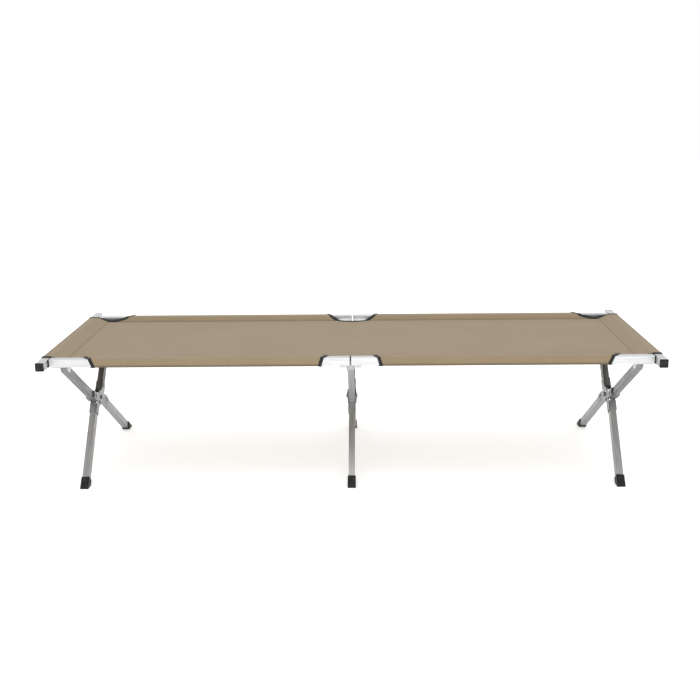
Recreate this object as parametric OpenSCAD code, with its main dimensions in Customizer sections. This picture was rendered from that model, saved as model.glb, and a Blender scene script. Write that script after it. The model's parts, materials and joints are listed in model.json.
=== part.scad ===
// Folding cot: two jointed side rails, two removable end bars, three scissor leg sets
// and a fabric lying surface. Millimetres, +Z up, +X along the length, front rail at -Y.
// The floor is Z = 0 and the middle leg set stands in the plane X = 0.

/* [Overall size] */
// Length over the end bars
total_length = 1900; // [1860:2000]
// Distance between the centre lines of the side rails
rail_spacing = 575; // [540:620]
// Height of the underside of the side rails
rail_underside = 400; // [395:410]

/* [Square tube of rails and end bars] */
// Outside width of the tube
tube = 25; // [24:28]
// Wall of the tube
wall = 1.5; // [1.2:0.1:2]
// Gap between the two halves of a side rail
rail_gap = 4; // [2:8]
// How far an end bar runs past the centre line of each rail
bar_overhang = 52.5; // [40:70]
// Thickness of the flange of a rail-end plug
plug_flange = 3; // [2:4]

/* [Leg tube] */
// Width of the leg tube along the cot
leg_x = 20; // [18:22]
// Width of the leg tube in the plane of the scissor
leg_w = 25; // [22:25]
// Height of the crossing bolt of the middle set
hub_height = 210; // [205:220]
// Drop from the underside of the rail to the leg pivot of the middle set
pivot_drop = 15; // [15:20]
// Distance from the centre line of the rail in to the leg pivots
pivot_inset = 30; // [26:34]
// Distance from the crossing bolt to the centre line of each tube
jog = 15; // [14.5:0.5:17]
// Distance along each tube from the crossing bolt to the tube's end
tube_start = 42; // [42:50]
// Angle of the lower tubes from vertical
lower_angle = 51.4; // [50:0.1:53]
// Outward lean of the two end leg sets
set_lean = 6; // [0:0.5:8]
// Distance of the end sets' feet from the middle
foot_x = 846; // [825:850]

/* [Plates, pins and feet] */
// Thickness of the side plates and of the bracket ears
plate = 2; // [1.6:0.1:2.4]
// Running gap beside every moving plate
gap = 0.3; // [0.2:0.1:0.5]
// Diameter of the crossing bolts and of the bracket pins
pin_d = 8; // [6:8]
// Height of a foot cap above the floor
foot_height = 31; // [28:40]
// Wall of a foot cap
foot_wall = 1.5; // [1:0.1:1.8]

/* [Fabric] */
// Thickness of the fabric as a plain solid
cloth = 0.8; // [0.6:0.1:1.2]
// Distance from the inner face of a rail to the pocket seam
side_seam = 18; // [12:25]
// Distance from the inner face of an end bar to the pocket seam
end_seam = 46; // [40:70]
// Half length of the middle cut-out
middle_cut = 86; // [70:100]
// Distance from the middle to the start of a corner cut-out
corner_cut = 800; // [780:815]

/* [Hidden] */
$fn = 48;
half_length = total_length / 2;
rail_y = rail_spacing / 2;
rail_z = rail_underside + tube / 2;
bar_x = half_length - tube / 2;
bar_inner = half_length - tube;
bar_half = rail_y + bar_overhang;
plug_gap = 0.3;
rail_end = bar_inner - plug_gap - plug_flange;
bore = tube - 2 * wall;
pivot_y = rail_y - pivot_inset;
pivot_height = rail_underside - pivot_drop;
pivot_rise = pivot_height - hub_height;
pivot_reach = norm([pivot_y, pivot_rise]);
upper_angle = atan(pivot_y / pivot_rise) - asin(jog / pivot_reach);
upper_run = sqrt(pow(pivot_reach, 2) - pow(jog, 2));
lower_run = (hub_height + jog * sin(lower_angle)) / cos(lower_angle);
sole_y = jog * cos(lower_angle) + lower_run * sin(lower_angle);
toe_y = sole_y + 14;
leg_bore = leg_w - 2 * wall;
ear_in = leg_x / 2 + gap;
ear_out = ear_in + plate;
ear_r = 11;
plate_a = leg_x / 2 + gap;
plate_b = plate_a + plate + gap;
pin_r = pin_d / 2;
pin_fit = 0.05;
foot_floor = 21;
rivet_r = 2.4;
head_r = 4.5;
head_h = 1.6;
plate_end = tube_start + 34;
boss_r = 24;
channel_half = 34;
channel_wall = 1.5;
channel_drop = 8;
hinge_x = 24;
hinge_r = 2.5;
hinge_z = rail_underside - 4.5;
lug_r = 5;
flange_start = ear_out + 1;
seam_z = rail_z - 1;
sleeve_gap = 0.5;
seam_y = rail_y - tube / 2 - side_seam;
seam_x = bar_inner - end_seam;

MIDDLE = 0;
LEFT = -1;
RIGHT = 1;
B = 1;
A = -1;
FRONT = -1;
BACK = 1;

ALUMINIUM = [0.86, 0.87, 0.88];
STEEL = [0.68, 0.69, 0.70];
BLACK = [0.07, 0.07, 0.08];
KHAKI = [0.62, 0.56, 0.46];

// Cylinder along X, centred.
module rod_x(r, length) {
    rotate([0, 90, 0])
        cylinder(r = r, h = length, center = true);
}

// Cylinder along Y, centred.
module rod_y(r, length) {
    rotate([90, 0, 0])
        cylinder(r = r, h = length, center = true);
}

// Hollow square tube along X from x0 to x1, centred on the X axis.
module square_tube_x(x0, x1) {
    translate([x0, 0, 0])
        difference() {
            translate([0, -tube / 2, -tube / 2])
                cube([x1 - x0, tube, tube]);
            translate([-1, -bore / 2, -bore / 2])
                cube([x1 - x0 + 2, bore, bore]);
        }
}

// ---------- side rails ----------

// Half of a side rail, with the lug under its inner end that takes a pin of the centre hinge.
module rail_half(side, y_side) {
    lug = tube - 2 * channel_wall - 2 * gap;
    color(ALUMINIUM)
        translate([0, y_side * rail_y, 0])
            mirror([side < 0 ? 1 : 0, 0, 0])
                union() {
                    translate([0, 0, rail_z])
                        square_tube_x(rail_gap / 2, rail_end);
                    difference() {
                        translate([hinge_x, 0, 0])
                            union() {
                                translate([-lug_r, -lug / 2, hinge_z])
                                    cube([2 * lug_r, lug, rail_underside + wall / 2 - hinge_z]);
                                translate([0, 0, hinge_z])
                                    rod_y(lug_r, lug);
                            }
                        translate([hinge_x, 0, hinge_z])
                            rod_y(hinge_r + pin_fit, tube);
                    }
                }
}

// Black plugs in both outer ends of one side rail.
module rail_plugs(y_side) {
    insert = bore - 0.2;
    insert_length = 22;
    color(BLACK)
        for (side = [LEFT, RIGHT])
            translate([0, y_side * rail_y, rail_z])
                mirror([side < 0 ? 1 : 0, 0, 0]) {
                    translate([rail_end, -tube / 2, -tube / 2])
                        cube([plug_flange, tube, tube]);
                    translate([rail_end - insert_length, -insert / 2, -insert / 2])
                        cube([insert_length + plug_flange / 2, insert, insert]);
                }
}

// Two ears that take the leg between them, with a bore for the bracket pin.
// The frame is the leg set's own, and the ears reach up to height top.
module ears(y_side, top) {
    for (side = [-1, 1])
        translate([side * (ear_in + plate / 2), y_side * pivot_y, pivot_height])
            difference() {
                union() {
                    rod_x(ear_r, plate);
                    translate([-plate / 2, -ear_r, 0])
                        cube([plate, 2 * ear_r, top - pivot_height]);
                }
                rod_x(pin_r + pin_fit, plate + 2);
            }
}

// Base plate of a bracket, centred on X = 0: from the rail's outer side in past the leg pivot.
module bracket_base(y_side, half) {
    inner = pivot_y - ear_r;
    outer = rail_y + tube / 2;
    translate([-half, y_side > 0 ? inner : -outer, rail_underside - channel_wall])
        cube([2 * half, outer - inner, channel_wall]);
}

// Channel under the gap of a side rail: base, two pairs of side flanges, and the middle leg's ears.
module hinge_channel(y_side) {
    color(STEEL)
        union() {
            bracket_base(y_side, hinge_x - lug_r - 2);
            for (x_side = [LEFT, RIGHT], y_face = [-1, 1])
                translate([x_side * (flange_start + channel_half) / 2,
                           y_side * rail_y + y_face * (tube - channel_wall) / 2,
                           rail_underside - channel_drop / 2])
                    difference() {
                        cube([channel_half - flange_start, channel_wall, channel_drop], center = true);
                        translate([x_side * (hinge_x - (flange_start + channel_half) / 2), 0,
                                   hinge_z - rail_underside + channel_drop / 2])
                            rod_y(hinge_r, channel_wall + 2);
                    }
            ears(y_side, rail_underside - channel_wall / 2);
        }
}

// Two cross pins of one centre hinge, with a domed head at both ends.
module hinge_pins(y_side) {
    color(STEEL)
        for (x_side = [LEFT, RIGHT])
            translate([x_side * hinge_x, y_side * rail_y, hinge_z]) {
                rod_y(hinge_r, tube);
                for (y_face = [-1, 1])
                    translate([0, y_face * (tube + 1.4) / 2, 0])
                        rod_y(3.4, 1.4);
            }
}

// Bracket of an end leg set: a plate against the rail's underside and two leaning ears.
module end_bracket(side, y_side) {
    base_half = 27;
    centre_x = side * (foot_x + rail_underside * tan(set_lean));
    z0 = rail_underside - channel_wall;
    color(STEEL)
        union() {
            translate([centre_x, 0, 0])
                bracket_base(y_side, base_half);
            for (x_side = [-1, 1], y_face = [-1, 1])
                translate([centre_x + x_side * (base_half - 3.5),
                           y_side * rail_y + y_face * (tube / 2 - 5), z0 - 0.9])
                    cylinder(r = 2.6, h = 1.8, center = true);
            intersection() {
                in_set(side)
                    ears(y_side, rail_underside + 20);
                translate([centre_x - 60, y_side * pivot_y - 40, rail_underside - 60])
                    cube([120, 80, 60 - channel_wall / 2]);
            }
        }
}

// Pins of the three leg brackets of one rail, with a flat head at both ends.
module bracket_pins(y_side) {
    color(STEEL)
        for (side = [LEFT, MIDDLE, RIGHT])
            in_set(side)
                translate([0, y_side * pivot_y, pivot_height]) {
                    rod_x(pin_r, 2 * ear_out);
                    for (x_side = [-1, 1])
                        translate([x_side * (ear_out + 1), 0, 0])
                            rod_x(pin_r + 2, 2);
                }
}

// ---------- leg sets ----------

// Places a leg set: its plane leans outward at the top about the line of its feet.
module in_set(side) {
    translate([side * foot_x, 0, 0])
        rotate([0, side * set_lean, 0])
            children();
}

// Places one leg with the crossing bolt at the origin. Leg B rises to the front and leg A to the back.
module in_leg(side, leg) {
    in_set(side)
        mirror([0, leg == A ? 1 : 0, 0])
            translate([0, 0, hub_height])
                children();
}

// The two rivet places on the upper tube and on the lower tube, along the tube.
function rivet_runs() = [tube_start + 9, tube_start + 25];

// Solid bar of one leg tube's shape, from run0 to a round end about run1.
module round_bar(thick, wide, run0, run1) {
    union() {
        translate([-thick / 2, -wide / 2, run0])
            cube([thick, wide, run1 - run0]);
        translate([0, 0, run1])
            rod_x(wide / 2, thick);
    }
}

// Upper tube, closed at both ends: round top with a bore for the bracket pin, two rivet holes at the bottom.
module leg_upper(side, leg) {
    color(ALUMINIUM)
        in_leg(side, leg)
            rotate([upper_angle, 0, 0])
                translate([0, -jog, 0])
                    difference() {
                        round_bar(leg_x, leg_w, tube_start, upper_run);
                        round_bar(leg_x - 2 * wall, leg_bore, tube_start + wall, upper_run);
                        translate([0, 0, upper_run])
                            rod_x(pin_r + pin_fit, leg_x + 2);
                        for (run = rivet_runs())
                            translate([0, 0, run])
                                rod_x(rivet_r, leg_x + 2);
                    }
}

// Lower tube: closed at the top, with two rivet holes, and its open end inside the foot cap.
module leg_lower(side, leg) {
    long = lower_run - foot_floor - tube_start;
    color(ALUMINIUM)
        in_leg(side, leg)
            rotate([lower_angle, 0, 0])
                translate([0, jog, 0])
                    difference() {
                        translate([-leg_x / 2, -leg_w / 2, foot_floor - lower_run])
                            cube([leg_x, leg_w, long]);
                        translate([wall - leg_x / 2, -leg_bore / 2, foot_floor - lower_run - 1])
                            cube([leg_x - 2 * wall, leg_bore, long + 1 - wall]);
                        for (run = rivet_runs())
                            translate([0, 0, -run])
                                rod_x(rivet_r, leg_x + 2);
                    }
}

function turned(point, angle) = [
    point.x * cos(angle) - point.y * sin(angle),
    point.x * sin(angle) + point.y * cos(angle)
];

// Outline of a side plate in the scissor plane: one end on each tube, with a round boss over the bolt.
module plate_outline() {
    circle(r = boss_r);
    near = jog - leg_w / 2;
    far = jog + leg_w / 2;
    polygon([
        turned([-far, plate_end], upper_angle),
        turned([-far, tube_start], upper_angle),
        turned([near, -tube_start], lower_angle),
        turned([near, -plate_end], lower_angle),
        turned([far, -plate_end], lower_angle),
        turned([far, -tube_start], lower_angle),
        turned([-near, tube_start], upper_angle),
        turned([-near, plate_end], upper_angle)
    ]);
}

// Pressed parts of a side plate that lie on the two tubes, a little inside its outline.
module plate_pads() {
    edge = 0.6;
    pad = [leg_w - 2 * edge, plate_end - tube_start - 2 * edge];
    rotate(upper_angle)
        translate([-jog - leg_w / 2 + edge, tube_start + edge])
            square(pad);
    rotate(lower_angle)
        translate([jog - leg_w / 2 + edge, -plate_end + edge])
            square(pad);
}

// Extrudes a scissor-plane outline along X from x0 to x1.
module slab(x0, x1) {
    translate([x0, 0, 0])
        rotate([90, 0, 90])
            linear_extrude(height = x1 - x0)
                children();
}

// Pair of side plates that joins the upper and lower tube of one leg.
// Leg A's pair is the inner one; leg B's stands off over it and is pressed down onto its tubes.
module leg_plates(side, leg) {
    x0 = leg == A ? plate_a : plate_b;
    color(STEEL)
        in_leg(side, leg)
            for (face = [0, 1])
                mirror([face, 0, 0])
                    difference() {
                        union() {
                            slab(x0, x0 + plate)
                                plate_outline();
                            slab(leg_x / 2, x0 + 0.1)
                                plate_pads();
                        }
                        rod_x(pin_r + pin_fit, 60);
                        rivet_places(leg)
                            rod_x(rivet_r, 60);
                    }
}

// Puts its children at the four rivet places of one leg.
module rivet_places(leg) {
    for (run = rivet_runs()) {
        rotate([upper_angle, 0, 0])
            translate([0, -jog, run])
                children();
        rotate([lower_angle, 0, 0])
            translate([0, jog, -run])
                children();
    }
}

// Rivets through the plates and tubes of one leg.
module leg_rivets(side, leg) {
    reach = (leg == A ? plate_a : plate_b) + plate;
    head = leg == A ? gap * 0.6 : head_h;
    color(STEEL)
        in_leg(side, leg)
            rivet_places(leg)
                union() {
                    rod_x(rivet_r, 2 * reach);
                    for (x_side = [-1, 1])
                        translate([x_side * (reach + head / 2), 0, 0])
                            rod_x(head_r, head);
                }
}

// Rectangle with its four corners cut off.
module cut_corners(x, y, cut) {
    polygon([
        [x / 2 - cut, y / 2], [cut - x / 2, y / 2], [-x / 2, y / 2 - cut], [-x / 2, cut - y / 2],
        [cut - x / 2, -y / 2], [x / 2 - cut, -y / 2], [x / 2, cut - y / 2], [x / 2, y / 2 - cut]
    ]);
}

// Foot cap: a closed sleeve over the tube's end, cut level with the floor and blunt at the toe.
module foot(side, leg) {
    outer_x = leg_x + 2 * 3;
    outer_w = leg_w + 2 * foot_wall;
    corner = 2.4;
    tall = foot_height / cos(lower_angle) - outer_w / 2 * tan(lower_angle);
    color(BLACK)
        difference() {
            in_leg(side, leg)
                rotate([lower_angle, 0, 0])
                    translate([0, jog, -lower_run])
                        difference() {
                            translate([0, 0, -30])
                                linear_extrude(height = 30 + tall)
                                    cut_corners(outer_x, outer_w, corner);
                            translate([-leg_x / 2, -leg_w / 2, foot_floor])
                                cube([leg_x, leg_w, tall]);
                        }
            translate([side * foot_x - 100, -500, -100])
                cube([200, 1000, 100]);
            for (y_side = [FRONT, BACK])
                translate([side * foot_x - 100, y_side * (toe_y + 100) - 100, -1])
                    cube([200, 200, 200]);
        }
}

// Crossing bolt with a round head and a hex nut.
module cross_bolt(side) {
    reach = plate_b + plate;
    color(STEEL)
        in_leg(side, B)
            union() {
                rod_x(pin_r, 2 * reach);
                translate([reach + 2, 0, 0])
                    rod_x(6.5, 4);
                translate([-reach - 5, 0, 0])
                    rotate([0, 90, 0])
                        cylinder(r = 7.2, h = 5, $fn = 6);
            }
}

// ---------- end bars ----------

// Square tube across the rails' ends.
module bar(side) {
    color(ALUMINIUM)
        translate([side * bar_x, 0, rail_z])
            rotate([0, 0, 90])
                square_tube_x(-bar_half, bar_half);
}

// Square caps in both ends of one bar.
module bar_caps(side) {
    cap = tube + 1;
    insert = bore - 0.2;
    insert_length = 18;
    color(BLACK)
        for (y_side = [FRONT, BACK])
            translate([side * bar_x, y_side * bar_half, rail_z])
                mirror([0, y_side < 0 ? 1 : 0, 0]) {
                    translate([-cap / 2, 0, -cap / 2])
                        cube([cap, 3, cap]);
                    translate([-insert / 2, -insert_length, -insert / 2])
                        cube([insert, insert_length + 1, insert]);
                }
}

// ---------- fabric ----------

// Section of a pocket round a square tube at the origin: a loop that narrows to a seam at +X.
module pocket_section(seam) {
    inner = tube / 2 + sleeve_gap;
    outer = inner + cloth;
    difference() {
        polygon([
            [-outer, -outer], [inner, -outer], [seam, -1 - cloth],
            [seam, -1 + cloth], [inner, outer], [-outer, outer]
        ]);
        polygon([
            [-inner, -inner], [inner, -inner], [inner + 2, -inner + 2],
            [inner + 2, inner - 2], [inner, inner], [-inner, inner]
        ]);
    }
}

// Pocket of one rail: two lengths, open at the middle and at the corners.
module pocket(y_side) {
    color(KHAKI)
        translate([0, y_side * rail_y, rail_z])
            mirror([0, y_side > 0 ? 1 : 0, 0])
                for (side = [0, 1])
                    mirror([side, 0, 0])
                        translate([middle_cut, 0, 0])
                            rotate([90, 0, 90])
                                linear_extrude(height = corner_cut - middle_cut)
                                    pocket_section(tube / 2 + side_seam - 0.4);
}

// Pocket of one end bar, between the rails.
module end_pocket(side) {
    half_width = rail_y - tube / 2 - 3;
    color(KHAKI)
        translate([side * bar_x, 0, rail_z])
            mirror([side > 0 ? 1 : 0, 0, 0])
                rotate([90, 0, 0])
                    linear_extrude(height = 2 * half_width, center = true)
                        pocket_section(tube / 2 + end_seam - 0.4);
}

// Lying panel between the four seams.
module panel() {
    color(KHAKI)
        translate([-seam_x, -seam_y, seam_z - cloth])
            cube([2 * seam_x, 2 * seam_y, 2 * cloth]);
}

rail_half(LEFT, FRONT);  // rail_front_left
rail_half(RIGHT, FRONT);  // rail_front_right
rail_half(LEFT, BACK);  // rail_back_left
rail_half(RIGHT, BACK);  // rail_back_right
rail_plugs(FRONT);  // rail_plugs_front
rail_plugs(BACK);  // rail_plugs_back
hinge_channel(FRONT);  // hinge_channel_front
hinge_channel(BACK);  // hinge_channel_back
hinge_pins(FRONT);  // hinge_pins_front
hinge_pins(BACK);  // hinge_pins_back
end_bracket(LEFT, FRONT);  // bracket_front_left
end_bracket(RIGHT, FRONT);  // bracket_front_right
end_bracket(LEFT, BACK);  // bracket_back_left
end_bracket(RIGHT, BACK);  // bracket_back_right
bracket_pins(FRONT);  // bracket_pins_front
bracket_pins(BACK);  // bracket_pins_back
bar(LEFT);  // bar_left
bar(RIGHT);  // bar_right
bar_caps(LEFT);  // bar_caps_left
bar_caps(RIGHT);  // bar_caps_right
leg_upper(LEFT, A);  // leg_a_upper_left
leg_lower(LEFT, A);  // leg_a_lower_left
leg_plates(LEFT, A);  // leg_a_plates_left
leg_rivets(LEFT, A);  // leg_a_rivets_left
foot(LEFT, A);  // foot_a_left
leg_upper(LEFT, B);  // leg_b_upper_left
leg_lower(LEFT, B);  // leg_b_lower_left
leg_plates(LEFT, B);  // leg_b_plates_left
leg_rivets(LEFT, B);  // leg_b_rivets_left
foot(LEFT, B);  // foot_b_left
leg_upper(MIDDLE, A);  // leg_a_upper_mid
leg_lower(MIDDLE, A);  // leg_a_lower_mid
leg_plates(MIDDLE, A);  // leg_a_plates_mid
leg_rivets(MIDDLE, A);  // leg_a_rivets_mid
foot(MIDDLE, A);  // foot_a_mid
leg_upper(MIDDLE, B);  // leg_b_upper_mid
leg_lower(MIDDLE, B);  // leg_b_lower_mid
leg_plates(MIDDLE, B);  // leg_b_plates_mid
leg_rivets(MIDDLE, B);  // leg_b_rivets_mid
foot(MIDDLE, B);  // foot_b_mid
leg_upper(RIGHT, A);  // leg_a_upper_right
leg_lower(RIGHT, A);  // leg_a_lower_right
leg_plates(RIGHT, A);  // leg_a_plates_right
leg_rivets(RIGHT, A);  // leg_a_rivets_right
foot(RIGHT, A);  // foot_a_right
leg_upper(RIGHT, B);  // leg_b_upper_right
leg_lower(RIGHT, B);  // leg_b_lower_right
leg_plates(RIGHT, B);  // leg_b_plates_right
leg_rivets(RIGHT, B);  // leg_b_rivets_right
foot(RIGHT, B);  // foot_b_right
cross_bolt(LEFT);  // cross_bolt_left
cross_bolt(MIDDLE);  // cross_bolt_mid
cross_bolt(RIGHT);  // cross_bolt_right
panel();
pocket(FRONT);  // pocket_front
pocket(BACK);  // pocket_back
end_pocket(LEFT);  // end_pocket_left
end_pocket(RIGHT);  // end_pocket_right
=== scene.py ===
"""Folding cot: fabric, binding, stitching, materials, camera and light on the CAD frame."""

import json
import math

import bmesh
import bpy
from mathutils import Matrix, Vector, noise

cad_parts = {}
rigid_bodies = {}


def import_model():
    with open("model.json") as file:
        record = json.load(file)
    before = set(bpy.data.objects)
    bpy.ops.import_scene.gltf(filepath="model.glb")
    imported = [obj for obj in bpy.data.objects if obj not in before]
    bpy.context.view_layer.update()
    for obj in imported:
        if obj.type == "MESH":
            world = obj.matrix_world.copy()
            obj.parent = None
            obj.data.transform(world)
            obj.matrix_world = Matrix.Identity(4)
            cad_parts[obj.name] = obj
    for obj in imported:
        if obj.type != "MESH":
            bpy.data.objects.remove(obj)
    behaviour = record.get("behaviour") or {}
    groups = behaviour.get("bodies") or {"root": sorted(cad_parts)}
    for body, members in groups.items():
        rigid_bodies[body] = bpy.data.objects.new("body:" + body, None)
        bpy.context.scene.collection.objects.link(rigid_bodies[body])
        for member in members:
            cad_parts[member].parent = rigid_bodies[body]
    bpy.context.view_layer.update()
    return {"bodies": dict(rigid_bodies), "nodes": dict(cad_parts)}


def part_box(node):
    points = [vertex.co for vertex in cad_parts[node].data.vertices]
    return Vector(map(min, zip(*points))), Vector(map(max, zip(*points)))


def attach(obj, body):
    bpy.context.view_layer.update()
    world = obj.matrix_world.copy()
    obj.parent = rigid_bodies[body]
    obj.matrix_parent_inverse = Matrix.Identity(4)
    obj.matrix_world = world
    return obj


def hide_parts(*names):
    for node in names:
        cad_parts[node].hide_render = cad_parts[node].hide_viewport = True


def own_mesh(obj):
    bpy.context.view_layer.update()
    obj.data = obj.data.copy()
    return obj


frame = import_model()
MM = 0.001

# ---------------------------------------------------------------- sizes from the frame

plug_lo, plug_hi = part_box("rail_plugs_front")
bar_lo, bar_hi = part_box("bar_right")
panel_lo, panel_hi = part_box("panel")

TUBE = plug_hi[2] - plug_lo[2]
HALF = TUBE / 2
RAIL_Z = (plug_hi[2] + plug_lo[2]) / 2
RAIL_Y = -(plug_lo[1] + plug_hi[1]) / 2
BAR_X = (bar_lo[0] + bar_hi[0]) / 2
SEAM_X = panel_hi[0]
SEAM_Y = panel_hi[1]
SEAM_Z = (panel_lo[2] + panel_hi[2]) / 2
CLOTH = 0.8 * MM
COVER = HALF + 0.9 * MM          # tube centre to the middle of the cloth
SEAM_DROP = SEAM_Z - RAIL_Z

# Cut-outs, as distances along the cot from its middle and depths in from the rail
MID_BOTTOM = 90 * MM
MID_TOP = 82 * MM
MID_INNER = 72 * MM
MID_DEPTH = 28 * MM
CORNER_BOTTOM = 790 * MM
CORNER_TOP = 801 * MM
CORNER_INNER = 820 * MM
CORNER_DEPTH = 11 * MM
FABRIC_END_Y = RAIL_Y - HALF - 1.5 * MM

TAPE_WIDTH = 9.5 * MM
TAPE_HALF = 1.7 * MM
TAPE_STITCH_INSET = 1.5 * MM     # stitches in from the tape's inner edge
STITCH = 3.2 * MM
STITCH_PITCH = 4.4 * MM
STITCH_STEPS = 60                # straight pieces in the path of a row of stitches


# ---------------------------------------------------------------- materials

def add(tree, kind, **settings):
    """A shader node; settings are its properties, or its inputs where it has no such property."""
    made = tree.nodes.new(kind)
    for key, value in settings.items():
        if hasattr(made, key):
            setattr(made, key, value)
        else:
            made.inputs[key.replace("_", " ")].default_value = value
    return made


def start_material(name, **settings):
    """A material with a Principled shader; its uniform values go on the shader's own sockets."""
    made = bpy.data.materials.new(name)
    made.use_nodes = True
    shader = made.node_tree.nodes["Principled BSDF"]
    for key, value in settings.items():
        shader.inputs[key.replace("_", " ")].default_value = value
    return made, made.node_tree, shader


def noise_value(tree, vector, scale, detail=2.0, rough=0.5):
    made = add(tree, "ShaderNodeTexNoise", Scale=scale, Detail=detail, Roughness=rough)
    tree.links.new(vector, made.inputs["Vector"])
    return made.outputs["Fac"]


def spread(tree, value, low, high, start=0.35, stop=0.65):
    """Maps a 0 to 1 value from the range start to stop onto low to high."""
    made = add(tree, "ShaderNodeMapRange", From_Min=start, From_Max=stop, To_Min=low, To_Max=high)
    tree.links.new(value, made.inputs["Value"])
    return made.outputs["Result"]


def math_node(tree, operation, a, b):
    made = add(tree, "ShaderNodeMath", operation=operation)
    for socket, value in zip(made.inputs, (a, b)):
        if isinstance(value, (int, float)):
            socket.default_value = value
        else:
            tree.links.new(value, socket)
    return made.outputs[0]


def blend_colours(tree, factor, dark, light):
    made = add(tree, "ShaderNodeMix", data_type="RGBA")
    tree.links.new(factor, made.inputs["Factor"])
    made.inputs[6].default_value = (*dark, 1)
    made.inputs[7].default_value = (*light, 1)
    return made.outputs[2]


def bump(tree, shader, height, distance):
    made = add(tree, "ShaderNodeBump", Distance=distance, Strength=1.0)
    tree.links.new(height, made.inputs["Height"])
    tree.links.new(made.outputs["Normal"], shader.inputs["Normal"])


def mapped(tree, output, scale=(1, 1, 1), turn=(0, 0, 0)):
    """Texture coordinates, turned and then scaled."""
    source = add(tree, "ShaderNodeTexCoord").outputs[output]
    for socket, value in (("Rotation", turn), ("Scale", scale)):
        step = add(tree, "ShaderNodeMapping", vector_type="POINT")
        step.inputs[socket].default_value = value
        tree.links.new(source, step.inputs["Vector"])
        source = step.outputs["Vector"]
    return source


def brushed_metal(name, dark, light, rough, turn=(0, 0, 0), along=0, metallic=0.92):
    """Metal with fine lines along one axis, soft patches, and a few handling scratches."""
    made, tree, shader = start_material(name, Metallic=metallic)
    stretch = [520.0, 520.0, 520.0]
    stretch[along] = 9.0
    lines = noise_value(tree, mapped(tree, "Object", stretch, turn), 1.0, 3.0)
    patches = noise_value(tree, mapped(tree, "Object"), 22.0, 3.0)
    scratch_stretch = [210.0, 210.0, 210.0]
    scratch_stretch[along] = 30.0
    scratches = noise_value(tree, mapped(tree, "Object", scratch_stretch, (0.3, 0.5, 0.2)), 1.0, 1.0)
    marks = spread(tree, scratches, 0.0, 1.0, 0.70, 0.74)
    tone = math_node(tree, "MULTIPLY", spread(tree, lines, 0.0, 1.0), spread(tree, patches, 0.75, 1.0))
    tree.links.new(blend_colours(tree, tone, dark, light), shader.inputs["Base Color"])
    gloss = math_node(tree, "ADD", spread(tree, patches, rough - 0.05, rough + 0.06),
                      math_node(tree, "MULTIPLY", marks, 0.12))
    tree.links.new(gloss, shader.inputs["Roughness"])
    height = math_node(tree, "SUBTRACT", lines, math_node(tree, "MULTIPLY", marks, 0.6))
    bump(tree, shader, height, 0.00003)
    return made


def moulded_plastic(name, dark, light, rough):
    """Plastic with a fine moulded grain and lighter rubbed patches."""
    made, tree, shader = start_material(name, Specular_IOR_Level=0.22)
    grain = noise_value(tree, mapped(tree, "Object"), 1400.0, 2.0)
    rub = noise_value(tree, mapped(tree, "Object"), 60.0, 4.0)
    tree.links.new(blend_colours(tree, spread(tree, rub, 0.0, 1.0, 0.4, 0.7), dark, light),
                   shader.inputs["Base Color"])
    tree.links.new(spread(tree, rub, rough + 0.08, rough - 0.06), shader.inputs["Roughness"])
    bump(tree, shader, grain, 0.00012)
    return made


def woven_cloth(name, dark, light, yarn, rough, relief, sheen, shade=None):
    """Plain weave on UVs in metres: warp and weft cross over and under, with uneven yarns.

    shade is (z, height, amount): painted shade, the cloth darkens by that amount below the height above z."""
    made, tree, shader = start_material(name, Sheen_Weight=sheen, Sheen_Roughness=0.5,
                                        Specular_IOR_Level=0.25)
    place = mapped(tree, "UV")
    bands = []
    for axis in ("X", "Y"):
        wave = add(tree, "ShaderNodeTexWave", wave_type="BANDS", bands_direction=axis,
                   Scale=math.pi / yarn / 10.0, Distortion=0.0)
        tree.links.new(place, wave.inputs["Vector"])
        bands.append(wave.outputs["Fac"])
    over = math_node(tree, "MULTIPLY", bands[0], bands[1])
    under = math_node(tree, "MULTIPLY", math_node(tree, "SUBTRACT", 1.0, bands[0]),
                      math_node(tree, "SUBTRACT", 1.0, bands[1]))
    weave = math_node(tree, "ADD", over, under)
    warp = noise_value(tree, mapped(tree, "UV", (1.0 / yarn / 2, 6.0, 1.0)), 1.0, 1.0)
    weft = noise_value(tree, mapped(tree, "UV", (6.0, 1.0 / yarn / 2, 1.0)), 1.0, 1.0)
    yarns = spread(tree, math_node(tree, "MULTIPLY", math_node(tree, "ADD", warp, weft), 0.5),
                   0.0, 1.0)
    cloudy = noise_value(tree, mapped(tree, "UV"), 5.0, 3.0)
    tone = math_node(tree, "ADD", math_node(tree, "MULTIPLY", weave, 0.40),
                     math_node(tree, "MULTIPLY", yarns, 0.28))
    tone = math_node(tree, "ADD", tone, math_node(tree, "MULTIPLY", cloudy, 0.32))
    colour = blend_colours(tree, tone, dark, light)
    if shade:
        # Painted shade: the colour is darkened towards the bottom, below the given height.
        z, height, amount = shade
        parts = add(tree, "ShaderNodeSeparateXYZ")
        tree.links.new(mapped(tree, "Object"), parts.inputs["Vector"])
        shaded = add(tree, "ShaderNodeMix", data_type="RGBA", blend_type="MULTIPLY")
        tree.links.new(spread(tree, parts.outputs["Z"], amount, 0.0, z, z + height),
                       shaded.inputs["Factor"])
        tree.links.new(colour, shaded.inputs[6])
        shaded.inputs[7].default_value = (0, 0, 0, 1)
        colour = shaded.outputs[2]
    tree.links.new(colour, shader.inputs["Base Color"])
    tree.links.new(spread(tree, yarns, rough - 0.06, rough + 0.04, 0.0, 1.0),
                   shader.inputs["Roughness"])
    bump(tree, shader, math_node(tree, "ADD", weave, math_node(tree, "MULTIPLY", yarns, 0.4)), relief)
    return made


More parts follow.
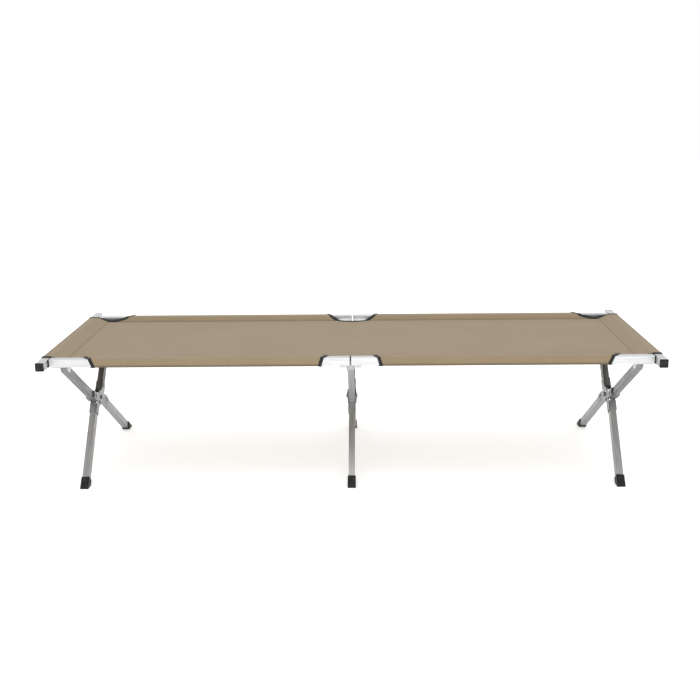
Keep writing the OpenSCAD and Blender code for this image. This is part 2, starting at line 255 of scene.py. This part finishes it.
ALUMINIUM = ((0.50, 0.505, 0.51), (0.68, 0.685, 0.69))
upper_turn = math.radians(53)
lower_turn = math.radians(51)
alu_x = brushed_metal("aluminium_rail", *ALUMINIUM, 0.34, along=0)
alu_y = brushed_metal("aluminium_bar", *ALUMINIUM, 0.34, along=1)
# Painted shade and light: one aluminium gets lit and shaded copies per leg part. The upper tubes are darker
# as if in shade under the fabric, and the middle set's b upper and a lower are lighter as if lit from the
# front.
LEG_PAINTED_SHADE_TONES = {
    "a_upper": (0.085, 0.15), "a_lower": (0.25, 0.39), "a_lower_mid": (0.31, 0.47),
    "b_upper": (0.165, 0.275), "b_lower": (0.23, 0.36), "b_upper_mid": (0.34, 0.52),
}


def leg_turn(kind):
    """Turn that lays the brushed lines along a leg tube; leg a and leg b lean opposite ways."""
    turn = upper_turn if "upper" in kind else lower_turn
    return (turn if kind[0] == "a" else -turn, 0, 0)


alu_leg_painted_shade = {
    kind: brushed_metal(f"aluminium_leg_painted_shade_{kind}", (dark,) * 3, (light,) * 3, 0.40,
                        leg_turn(kind), along=2, metallic=0.7)
    for kind, (dark, light) in LEG_PAINTED_SHADE_TONES.items()
}
steel = brushed_metal("hub_steel", (0.15,) * 3, (0.28,) * 3, 0.32)
bright_steel = brushed_metal("zinc_plated_steel", (0.46,) * 3, (0.64,) * 3, 0.30)
black_plastic = moulded_plastic("black_plastic", (0.006, 0.006, 0.007), (0.018, 0.018, 0.019), 0.5)
KHAKI = ((0.178, 0.133, 0.079), (0.299, 0.232, 0.145), 0.62 * MM, 0.82, 0.00016, 0.12)
khaki = woven_cloth("khaki_polyester", *KHAKI)
# Rail pocket cloth with painted shade that darkens it along the bottom of the tube.
khaki_painted_shade = woven_cloth("khaki_polyester_painted_shade_below", *KHAKI,
                        shade=(RAIL_Z - COVER - 0.5 * MM, 10 * MM, 0.72))
tape_cloth = woven_cloth("black_binding_tape", (0.006, 0.006, 0.007), (0.030, 0.030, 0.032), 0.8 * MM,
                         0.78, 0.00022, 0.10)
thread = woven_cloth("khaki_thread", (0.135, 0.104, 0.064), (0.24, 0.19, 0.124), 0.3 * MM, 0.7,
                     0.00005, 0.1)
black_thread = woven_cloth("black_thread", (0.008, 0.008, 0.009), (0.025, 0.025, 0.027), 0.3 * MM, 0.7,
                           0.00005, 0.1)

# ---------------------------------------------------------------- CAD nodes: edges and materials

TUBE_EDGE = 1.1 * MM
PLATE_EDGE = 0.35 * MM
PLASTIC_EDGE = 1.6 * MM


def finish_node(name, chosen, edge):
    """Welds the imported faces in a modifier, rounds the edges, and sets the material."""
    obj = frame["nodes"][name]
    obj.data.materials.clear()
    obj.data.materials.append(chosen)
    weld = obj.modifiers.new("weld", "WELD")
    weld.merge_threshold = 0.01 * MM
    rounded = obj.modifiers.new("edge", "BEVEL")
    rounded.width = edge
    rounded.segments = 3
    rounded.limit_method = "ANGLE"
    rounded.angle_limit = math.radians(40)
    rounded.harden_normals = True


for name in frame["nodes"]:
    words = name.split("_")
    if "caps" in words or "plugs" in words or words[0] == "foot":
        finish_node(name, black_plastic, PLASTIC_EDGE if words[0] != "rail" else PLATE_EDGE)
    elif words[0] == "rail":
        finish_node(name, alu_x, TUBE_EDGE)
    elif words[0] == "bar":
        finish_node(name, alu_y, TUBE_EDGE)
    elif words[0] == "leg" and words[2] in ("upper", "lower"):
        kind = f"{words[1]}_{words[2]}"
        # Each leg part takes its copy of the aluminium with painted shade or light.
        finish_node(name, alu_leg_painted_shade.get(f"{kind}_{words[3]}", alu_leg_painted_shade[kind]), TUBE_EDGE)
    elif words[0] in ("leg", "cross"):
        finish_node(name, steel, PLATE_EDGE)
    elif words[0] in ("bracket", "hinge"):
        finish_node(name, bright_steel, PLATE_EDGE)

# ---------------------------------------------------------------- mesh helpers


def mesh_object(name, verts, faces, chosen, uvs=None):
    mesh = bpy.data.meshes.new(name)
    mesh.from_pydata([tuple(v) for v in verts], [], faces)
    mesh.materials.append(chosen)
    layer = mesh.uv_layers.new(name="UVMap")
    for loop in mesh.loops:
        layer.data[loop.index].uv = uvs[loop.vertex_index] if uvs else (0.0, 0.0)
    for face in mesh.polygons:
        face.use_smooth = True
    mesh.update()
    obj = bpy.data.objects.new(name, mesh)
    bpy.context.scene.collection.objects.link(obj)
    return obj


def join_doubles(obj):
    """Joins the patches of a piece where their points coincide."""
    work = bmesh.new()
    work.from_mesh(obj.data)
    bmesh.ops.remove_doubles(work, verts=work.verts, dist=0.02 * MM)
    work.to_mesh(obj.data)
    work.free()


def thicken(obj):
    """Gives a sheet the cloth's thickness, half to each side."""
    solid = obj.modifiers.new("cloth", "SOLIDIFY")
    solid.thickness = CLOTH
    solid.offset = 0.0


class Mesh:
    """Collects vertices, faces and UVs of one piece made of several parts."""

    def __init__(self):
        self.verts, self.faces, self.uvs = [], [], []

    def grid(self, rows, uv_rows, flip=False):
        """rows is a list of equal lists of points; faces join neighbours."""
        base, width = len(self.verts), len(rows[0])
        for row, uv_row in zip(rows, uv_rows):
            self.verts += row
            self.uvs += uv_row
        for i in range(len(rows) - 1):
            for j in range(width - 1):
                a = base + i * width + j
                quad = (a, a + 1, a + width + 1, a + width)
                self.faces.append(quad[::-1] if flip else quad)

    def ring_sweep(self, path, rings, uv_along):
        """rings[i] is the closed section at path[i]. Both ends are capped."""
        base, count = len(self.verts), len(rings[0])
        for ring, u in zip(rings, uv_along):
            self.verts += ring
            self.uvs += [(u, k * 1.5 * MM) for k in range(count)]
        for i in range(len(path) - 1):
            for k in range(count):
                a, b = base + i * count + k, base + i * count + (k + 1) % count
                self.faces.append((a, b, b + count, a + count))
        last = base + (len(path) - 1) * count
        self.faces.append(tuple(range(base + count - 1, base - 1, -1)))
        self.faces.append(tuple(range(last, last + count)))

    def make(self, name, chosen):
        return mesh_object(name, self.verts, self.faces, chosen, self.uvs)


def lengths_along(points):
    total, found = 0.0, [0.0]
    for a, b in zip(points, points[1:]):
        total += (b - a).length
        found.append(total)
    return found


TAPE_SECTION = [(-1.4, 0.0), (-1.1, 0.6), (-0.3, 0.95), (1.2, 1.05), (4.0, 1.0),
                (TAPE_WIDTH / MM - 0.8, 0.85), (TAPE_WIDTH / MM, 0.45), (TAPE_WIDTH / MM, -0.45),
                (TAPE_WIDTH / MM - 0.8, -0.85), (4.0, -1.0), (1.2, -1.05), (-0.3, -0.95),
                (-1.1, -0.6)]


def add_tape(target, path, inward, normals):
    """Tape folded over a free edge: inward points into the cloth, normals out of it."""
    along = lengths_along(path)
    rings = [
        [p + i * (w * MM) + n * (h * TAPE_HALF) for w, h in TAPE_SECTION]
        for p, i, n in zip(path, inward, normals)
    ]
    target.ring_sweep(path, rings, along)


def add_stitches(target, path, normals, sides, lift):
    """Short raised stitches along a path; sides point across it."""
    along = lengths_along(path)
    count = int(along[-1] / STITCH_PITCH)
    k = 0
    for n in range(count):
        centre = (n + 0.5) * STITCH_PITCH
        while k < len(along) - 2 and along[k + 1] < centre:
            k += 1
        t = (centre - along[k]) / max(along[k + 1] - along[k], 1e-9)
        point = path[k].lerp(path[k + 1], t)
        direction = (path[k + 1] - path[k]).normalized()
        up, side = normals[k], sides[k]
        rings, spots = [], []
        for f, r in ((-0.5, 0.35), (-0.3, 1.0), (0.3, 1.0), (0.5, 0.35)):
            spot = point + direction * (f * STITCH) + up * lift
            spots.append(spot)
            rings.append([spot + side * (0.30 * MM * r * math.cos(a)) + up * (0.28 * MM * r * math.sin(a))
                          for a in (0, math.pi / 2, math.pi, 1.5 * math.pi)])
        target.ring_sweep(spots, rings, [centre + f * STITCH for f in (-0.5, -0.3, 0.3, 0.5)])


def wrinkle(x, y, size, seed):
    """Smooth signed noise, about -1 to 1."""
    return noise.noise(Vector((x / size, y / size, seed)))


# ---------------------------------------------------------------- pocket round a tube

def filleted(corners, step):
    """Points along straight runs joined by arcs; corners are (u, z, radius)."""
    points = []
    for k, (u, z, radius) in enumerate(corners):
        here = Vector((u, z))
        if radius == 0 or k in (0, len(corners) - 1):
            points.append([here])
            continue
        before = Vector(corners[k - 1][:2]) - here
        after = Vector(corners[k + 1][:2]) - here
        half = before.angle(after) / 2
        reach = radius / math.tan(half)
        start, end = here + before.normalized() * reach, here + after.normalized() * reach
        points.append([
            (1 - t) ** 2 * start + 2 * t * (1 - t) * here + t * t * end
            for t in [n / 4 for n in range(5)]
        ])
    line = []
    for a, b in zip(points, points[1:]):
        line += a
        gap = b[0] - a[-1]
        pieces = max(1, int(gap.length / step))
        line += [a[-1] + gap * (n / pieces) for n in range(1, pieces)]
    return line + points[-1]


def loop_profile(run, step=2.5 * MM):
    """Section of a pocket: from the seam up and round the tube, and back to the seam from below.
    u points in from the tube's centre line to the cot's middle."""
    seam = HALF + run
    return filleted([
        (seam, SEAM_DROP + 0.5 * CLOTH, 0), (COVER - 0.5 * MM, COVER, 3.5 * MM),
        (-COVER, COVER, 2.4 * MM), (-COVER, -COVER, 2.4 * MM),
        (COVER - 0.5 * MM, -COVER, 3.5 * MM), (seam, SEAM_DROP - 0.5 * CLOTH, 0),
    ], step)


def profile_normals(profile):
    """Unit normals that point out of the loop."""
    found = []
    for k in range(len(profile)):
        a, b = profile[max(k - 1, 0)], profile[min(k + 1, len(profile) - 1)]
        d = (b - a).normalized()
        found.append(Vector((-d.y, d.x)) * -1)
    return found


def ramp(value, start, stop):
    return min(max((value - start) / (stop - start), 0.0), 1.0)


def corner_arc(x):
    """Depth in from the rail of the corner cut-out's edge."""
    return CORNER_DEPTH * math.sin(math.pi * ramp(x, CORNER_INNER, BAR_X - HALF))


def face_edge(u, z, top, bottom, inner):
    """End of the cloth on the faces of the rail: at top and bottom on its outside, at inner on its inside."""
    if u <= -COVER + 2 * MM:
        return top + (bottom - top) * ramp(z, COVER, -COVER)
    outer = top if z > 0 else bottom
    return outer + (inner - outer) * ramp(u, -COVER, COVER)


def middle_edge(u, z):
    depth = u - COVER
    if depth > 0:
        return MID_INNER * math.sqrt(1 - depth / MID_DEPTH)
    return face_edge(u, z, MID_TOP, MID_BOTTOM, MID_INNER)


def corner_edge(u, z):
    if u > COVER:
        return CORNER_INNER
    return face_edge(u, z, CORNER_TOP, CORNER_BOTTOM, CORNER_INNER)


def rail_point(side, y_side, x, u, z):
    return Vector((side * x, y_side * (RAIL_Y - u), RAIL_Z + z))


RUN_SIDE = RAIL_Y - HALF - SEAM_Y
SEAM_DEPTH = RUN_SIDE - COVER + HALF
SIDE_SLOPE = (COVER - SEAM_DROP) / SEAM_DEPTH
side_profile = loop_profile(RUN_SIDE)
side_normals = profile_normals(side_profile)
side_lengths = lengths_along(side_profile)
ALONG = 150


def across_edge(points, ups, toward):
    """Unit vectors in the cloth at right angles to an edge, on the side toward each given direction."""
    found = []
    for k, up in enumerate(ups):
        along = (points[min(k + 1, len(points) - 1)] - points[max(k - 1, 0)]).normalized()
        inside = up.cross(along).normalized()
        found.append(inside if inside.dot(toward[k]) > 0 else -inside)
    return found


def clear_of_seam(point, inside):
    """On the slope, keeps the tape's inner edge on its own side of the seam's height."""
    if abs(point.y) > RAIL_Y - COVER:
        return inside
    room = (point.z - SEAM_Z) / TAPE_WIDTH
    z = max(inside.z, -room) if room >= 0 else min(inside.z, -room)
    return Vector((inside.x, inside.y, z))


def bind_edge(tape, stitches, points, ups, toward):
    """Tape over a free edge, with its row of stitches."""
    inward = [clear_of_seam(p, i) for p, i in zip(points, across_edge(points, ups, toward))]
    add_tape(tape, points, inward, ups)
    inset = [p + i * (TAPE_WIDTH - TAPE_STITCH_INSET) for p, i in zip(points, inward)]
    add_stitches(stitches, inset, ups, inward, TAPE_HALF + 0.05 * MM)


def rail_cloth(side, y_side, x, u, z, s, normal, near, far):
    """A point of the cloth on a rail, with slight tension ripples next to the cut-outs."""
    free = (COVER - abs(z)) / COVER if u < 0 else 1.0 - ramp(u, COVER, HALF + RUN_SIDE)
    pull = math.exp(-abs(x - near) / 0.05) + math.exp(-abs(far - x) / 0.05)
    ripple = 0.22 * MM * wrinkle(x, s, 0.045, 3.1 + side + 2 * y_side)
    ripple += 0.17 * MM * pull * math.sin(s / 0.0075)
    lift = max(ripple * min(1.0, 4 * abs(free)), -0.35 * MM)
    return rail_point(side, y_side, x, u, z) + normal * lift


def slope_height(u, above):
    """Height of the straight run between the rail's edge and the seam."""
    start = COVER if above else -COVER
    end = SEAM_DROP + (0.5 if above else -0.5) * CLOTH
    return start + (end - start) * ramp(u, COVER, HALF + RUN_SIDE)


def corner_strip(side, y_side, above, rows_at):
    """Cloth between the rail pocket and the end pocket, cut in along its free edge."""
    rows, uv_rows = [], []
    xs = [CORNER_INNER + (SEAM_X - CORNER_INNER) * k / 16 for k in range(17)]
    for u_row, z_row, s, normal in rows_at:
        share = ramp(u_row, COVER, HALF + RUN_SIDE)
        row, uvs = [], []
        for x in xs:
            u = u_row + corner_arc(x) * (1 - share)
            z = z_row + slope_height(u, above) - slope_height(u_row, above)
            row.append(rail_cloth(side, y_side, x, u, z, s, normal, MID_INNER, CORNER_INNER))
            uvs.append((side * x, s))
        rows.append(row)
        uv_rows.append(uvs)
    return rows, uv_rows


def rail_pocket(y_side, name, body):
    """Both lengths of one rail's pocket, their binding and stitches."""
    cloth, tape, stitches, dark_stitches = Mesh(), Mesh(), Mesh(), Mesh()
    for side in (-1, 1):
        rows, uv_rows, normals, sloping = [], [], [], {True: [], False: []}
        for (u, z), (nu, nz), s in zip(side_profile, side_normals, side_lengths):
            near, far = middle_edge(u, z), corner_edge(u, z)
            normal = Vector((0, -y_side * nu, nz))
            xs = [near + (far - near) * k / ALONG for k in range(ALONG + 1)]
            rows.append([rail_cloth(side, y_side, x, u, z, s, normal, near, far) for x in xs])
            uv_rows.append([(side * x, s) for x in xs])
            normals.append(normal)
            if u > COVER:
                sloping[z > SEAM_DROP].append((u, z, s, normal))
        flip = side * y_side > 0
        cloth.grid(rows, uv_rows, flip=flip)
        strips = {above: corner_strip(side, y_side, above, at) for above, at in sloping.items()}
        for strip in strips.values():
            cloth.grid(*strip, flip=flip)
        bind_edge(tape, dark_stitches, [row[0] for row in rows], normals,
                  [Vector((side, 0, 0))] * len(rows))
        # The corner's edge: in along the strip above, round the rail, and out along the strip below
        above, below = strips[True][0][-1], strips[False][0][0]
        count = len(sloping[True])
        wrap = slice(count, len(rows) - len(sloping[False]))
        points = above[::-1] + [row[-1] for row in rows[wrap]] + below
        ups = [normals[count - 1]] * len(above) + normals[wrap] + [normals[wrap.stop]] * len(below)
        inner = [Vector((-side * 0.2, -y_side, 0))] * len(above)
        toward = inner + [Vector((-side, 0, 0))] * len(rows[wrap]) + inner
        bind_edge(tape, dark_stitches, points, ups, toward)
        # Two rows of stitches along the pocket's seam, on the slope just above it
        for back in (1.6 * MM, 4.2 * MM):
            u = HALF + RUN_SIDE - back
            path = [rail_point(side, y_side, MID_INNER + (SEAM_X - MID_INNER) * k / STITCH_STEPS, u,
                               slope_height(u, True)) for k in range(STITCH_STEPS + 1)]
            normal = Vector((0, -y_side * (COVER - SEAM_DROP), RUN_SIDE)).normalized()
            across = Vector((1, 0, 0)).cross(normal).normalized()
            add_stitches(stitches, path, [normal] * len(path), [across] * len(path), 0.55 * MM)
    # The rail pocket's cloth carries painted shade along its bottom.
    made = cloth.make(name, khaki_painted_shade)
    join_doubles(made)
    thicken(made)
    made_tape = tape.make(name + "_binding", tape_cloth)
    made_stitches = stitches.make(name + "_stitches", thread)
    made_dark = dark_stitches.make(name + "_binding_stitches", black_thread)
    pieces = [made, made_tape, made_stitches, made_dark]
    for piece in pieces:
        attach(piece, body)
    return made, pieces[1:]


# ---------------------------------------------------------------- end pockets

RUN_END = BAR_X - HALF - SEAM_X
end_profile = loop_profile(RUN_END, 4 * MM)
end_normals = profile_normals(end_profile)
end_lengths = lengths_along(end_profile)
ACROSS = 110


def end_half_width(u):
    """Half width of the end pocket at distance u in from the bar's centre line."""
    if u <= COVER:
        return FABRIC_END_Y
    return RAIL_Y - HALF - 0.4 * MM - max(corner_arc(BAR_X - u), 1.1 * MM)


def end_height(u, z, y):
    """The slope's height, lifted or lowered to the rail pocket's slope near the corners."""
    if u <= COVER or abs(y) <= SEAM_Y:
        return z
    climb = ramp(abs(y), SEAM_Y, RAIL_Y - COVER)
    if z > SEAM_DROP:
        return max(z, SEAM_DROP + 0.5 * CLOTH + (COVER - SEAM_DROP) * climb)
    return min(z, SEAM_DROP - 0.5 * CLOTH - (COVER + SEAM_DROP) * climb)


def end_pocket(side, name, body):
    cloth, tape, stitches, dark_stitches = Mesh(), Mesh(), Mesh(), Mesh()
    rows, uv_rows = [], []
    edges = {-1: ([], []), 1: ([], [])}
    for (u, z), (nu, nz), s in zip(end_profile, end_normals, end_lengths):
        half = end_half_width(u)
        normal = Vector((-side * nu, 0, nz))
        row = []
        for k in range(ACROSS + 1):
            y = -half + 2 * half * k / ACROSS
            height = end_height(u, z, y)
            on_slope = ramp(u, COVER, COVER + 0.01) * ramp(HALF + RUN_END - u, 0.0, 0.02)
            lift = 0.5 * MM * wrinkle(y, s, 0.06, 9.0 + side) * on_slope
            lift += 0.45 * MM * on_slope * wrinkle(y, s, 0.018, 4.0) * ramp(abs(y), 0.17, 0.26)
            row.append(Vector((side * (BAR_X - u), y, RAIL_Z + height)) + normal * lift)
        rows.append(row)
        uv_rows.append([(-half + 2 * half * k / ACROSS, s) for k in range(ACROSS + 1)])
        for y_side, at in ((-1, 0), (1, -1)):
            edges[y_side][0].append(row[at])
            edges[y_side][1].append(normal)
    cloth.grid(rows, uv_rows, flip=(side < 0))
    for y_side, (points, ups) in edges.items():
        inward, tilted = [], []
        for k, inside in enumerate(across_edge(points, ups, [Vector((0, -y_side, 0))] * len(points))):
            along = (points[min(k + 1, len(points) - 1)] - points[max(k - 1, 0)]).normalized()
            u = end_profile[k][0]
            if u > COVER:
                drop = math.copysign(SIDE_SLOPE, end_profile[k][1] - SEAM_DROP)
                inside = Vector((inside.x, inside.y, -drop * abs(inside.y)))
                inside = (inside - along * inside.dot(along)).normalized()
            inward.append(inside)
            up = along.cross(inside).normalized()
            tilted.append(up if up.dot(ups[k]) > 0 else -up)
        add_tape(tape, points, inward, tilted)
        inset = [p + i * (TAPE_WIDTH - TAPE_STITCH_INSET) for p, i in zip(points, inward)]
        add_stitches(dark_stitches, inset, tilted, inward, TAPE_HALF + 0.05 * MM)
    normal = Vector((-side * (COVER - SEAM_DROP) / RUN_END, 0, 1)).normalized()
    for back in (2.0 * MM, 7.0 * MM):
        u = HALF + RUN_END - back
        z = SEAM_DROP + (COVER - SEAM_DROP) * back / (RUN_END - COVER + HALF)
        path = [Vector((side * (BAR_X - u), -SEAM_Y + 2 * SEAM_Y * k / STITCH_STEPS, RAIL_Z + z))
                for k in range(STITCH_STEPS + 1)]
        across = Vector((0, 1, 0)).cross(normal).normalized()
        add_stitches(stitches, path, [normal] * len(path), [across] * len(path), 0.6 * MM)
    made = cloth.make(name, khaki)
    thicken(made)
    made_tape = tape.make(name + "_binding", tape_cloth)
    made_stitches = stitches.make(name + "_stitches", thread)
    made_dark = dark_stitches.make(name + "_binding_stitches", black_thread)
    pieces = [made, made_tape, made_stitches, made_dark]
    for piece in pieces:
        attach(piece, body)
        fold_up(piece)
    return made, pieces[1:]


def fold_up(piece):
    """Gives the piece its own copy of its mesh data."""
    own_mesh(piece)


# ---------------------------------------------------------------- lying panel

TONGUE = 34 * MM                 # how far the panel reaches inside each end pocket
SAG = 2.6 * MM
PANEL_STEPS = 260                # mesh steps along the panel
PANEL_ROWS = 90                  # and across it
FINE_HALF = 70 * MM              # the stretch round the middle that has finer steps
FINE_STEPS = 56


def notch(x):
    """How far the panel's side edge is cut in from the seam at the middle cut-out."""
    share = abs(x) / MID_INNER
    if share >= 1:
        return 0.0
    return max(MID_DEPTH * (1 - share ** 2) - SEAM_DEPTH, 0.0)


NOTCH_HALF = MID_INNER * math.sqrt(1 - SEAM_DEPTH / MID_DEPTH)


def panel_height(x, y):
    """Taut cloth: a shallow sag, long soft ripples, and finer ones at the corners and cut-outs."""
    ex, ey = 1 - min(abs(x) / SEAM_X, 1.0) ** 2, 1 - min(abs(y) / SEAM_Y, 1.0) ** 2
    edge = min(1.0, 5 * ey) * min(1.0, 8 * ex)
    drop = -SAG * ex * ey
    soft = 0.9 * MM * wrinkle(x, y * 1.6, 0.33, 1.7) + 0.35 * MM * wrinkle(x, y, 0.09, 5.2)
    to_corner = math.hypot(SEAM_X - abs(x), SEAM_Y - abs(y))
    to_middle = math.hypot(x, SEAM_Y - abs(y))
    near = math.exp(-to_corner / 0.13) + 0.8 * math.exp(-to_middle / 0.09)
    angle = math.atan2(SEAM_Y - abs(y), abs(SEAM_X - abs(x)) + 0.02)
    fine = 0.9 * MM * near * math.sin(angle * 11)
    return drop + (soft + fine) * edge


def panel():
    cloth, tape, dark_stitches = Mesh(), Mesh(), Mesh()
    reach = SEAM_X + TONGUE
    coarse = [-reach + 2 * reach * k / PANEL_STEPS for k in range(PANEL_STEPS + 1)]
    fine = [-FINE_HALF + 2 * FINE_HALF * k / FINE_STEPS for k in range(FINE_STEPS + 1)]
    outside = [x for x in coarse if abs(x) > FINE_HALF + 0.5 * MM]
    xs = sorted(outside + fine + [-NOTCH_HALF, NOTCH_HALF])
    rows, uv_rows = [], []
    for x in xs:
        low, high = -SEAM_Y + notch(x), SEAM_Y - notch(x)
        squeeze = 0.0 if abs(x) <= SEAM_X else 1.2 * MM
        row = []
        for k in range(PANEL_ROWS + 1):
            y = (low + squeeze) + (high - low - 2 * squeeze) * k / PANEL_ROWS
            z = SEAM_Z + (panel_height(x, y) if abs(x) < SEAM_X else -0.1 * MM)
            row.append(Vector((x, y, z)))
        rows.append(row)
        uv_rows.append([(p.x, p.y) for p in row])
    cloth.grid(rows, uv_rows, flip=True)
    for y_side in (-1, 1):
        inner_xs = [-NOTCH_HALF] + [x for x in xs if abs(x) < NOTCH_HALF - 0.5 * MM] + [NOTCH_HALF]
        path = [Vector((x, y_side * (SEAM_Y - notch(x)), SEAM_Z + 0.15 * MM)) for x in inner_xs]
        bind_edge(tape, dark_stitches, path, [Vector((0, 0, 1))] * len(path),
                  [Vector((0, -y_side, 0))] * len(path))
    made = cloth.make("lying_panel", khaki)
    thicken(made)
    made_tape = tape.make("lying_panel_binding", tape_cloth)
    made_dark = dark_stitches.make("lying_panel_binding_stitches", black_thread)
    for piece in (made, made_tape, made_dark):
        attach(piece, "front_rail")
        fold_up(piece)
    return made, [made_tape, made_dark]


cloth_panel, panel_trim = panel()
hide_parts("panel")

for y_side, edge, body in ((-1, "front", "front_rail"), (1, "back", "back_rail")):
    made, trim = rail_pocket(y_side, f"side_pocket_{edge}", body)
    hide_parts(f"pocket_{edge}")

for side, hand in ((-1, "left"), (1, "right")):
    made, trim = end_pocket(side, f"end_sleeve_{hand}", f"end_bar_{hand}")
    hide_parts(f"end_pocket_{hand}")

# ---------------------------------------------------------------- stage, light and camera

floor_size = 14.0
floor = mesh_object("studio_floor", [(-floor_size, -floor_size, 0), (floor_size, -floor_size, 0),
                                     (floor_size, floor_size, 0), (-floor_size, floor_size, 0)],
                    [(0, 1, 2, 3)], start_material("pale_floor", Base_Color=(0.90, 0.90, 0.90, 1),
                                                    Roughness=0.9, Emission_Strength=0.36,
                                                    Emission_Color=(1, 1, 1, 1))[0])

# As the scissor closes the feet go down from the rails, and the floor stays level with them
foot_lo, foot_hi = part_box("foot_b_mid")
under_toe = bpy.data.objects.new("under_toe", None)
under_toe.parent = frame["bodies"]["leg_b_mid"]
under_toe.location = (0, foot_hi[1], foot_lo[2])
bpy.context.scene.collection.objects.link(under_toe)
follow = floor.constraints.new("COPY_LOCATION")
follow.target = under_toe
follow.use_x = follow.use_y = False

world = bpy.data.worlds.new("studio")
world.use_nodes = True
world.node_tree.nodes["Background"].inputs["Color"].default_value = (1.0, 1.0, 1.0, 1)
world.node_tree.nodes["Background"].inputs["Strength"].default_value = 1.0
bpy.context.scene.world = world
bpy.context.scene.view_settings.view_transform = "Standard"


def soft_light(name, at, target, size, power):
    data = bpy.data.lights.new(name, "AREA")
    data.shape = "RECTANGLE"
    data.size, data.size_y = size
    data.energy = power
    obj = bpy.data.objects.new(name, data)
    obj.location = at
    obj.rotation_euler = (Vector(target) - Vector(at)).to_track_quat("-Z", "Y").to_euler()
    bpy.context.scene.collection.objects.link(obj)


soft_light("overhead", (0.0, -0.4, 3.2), (0, 0, 0.3), (3.4, 2.4), 28.0)
soft_light("front_fill", (0.0, -4.2, 1.6), (0, 0, 0.3), (3.6, 1.6), 52.0)

# The photograph's view: a 50 mm lens on a 36 mm frame, a little right of centre and above.
LENS = 50.0
CAMERA_AT = (0.0434, -3.149, 1.2047)
CAMERA_PITCH = 14.84
CAMERA_YAW = 0.89
CAMERA_ROLL = -0.60
camera_data = bpy.data.cameras.new("photo_view")
camera_data.lens = LENS
camera_data.sensor_width = 36.0
camera = bpy.data.objects.new("photo_view", camera_data)
camera.matrix_world = (
    Matrix.Translation(CAMERA_AT)
    @ Matrix.Rotation(math.radians(CAMERA_YAW), 4, "Z")
    @ Matrix.Rotation(math.radians(90 - CAMERA_PITCH), 4, "X")
    @ Matrix.Rotation(math.radians(CAMERA_ROLL), 4, "Z")
)
bpy.context.scene.collection.objects.link(camera)
bpy.context.scene.camera = camera
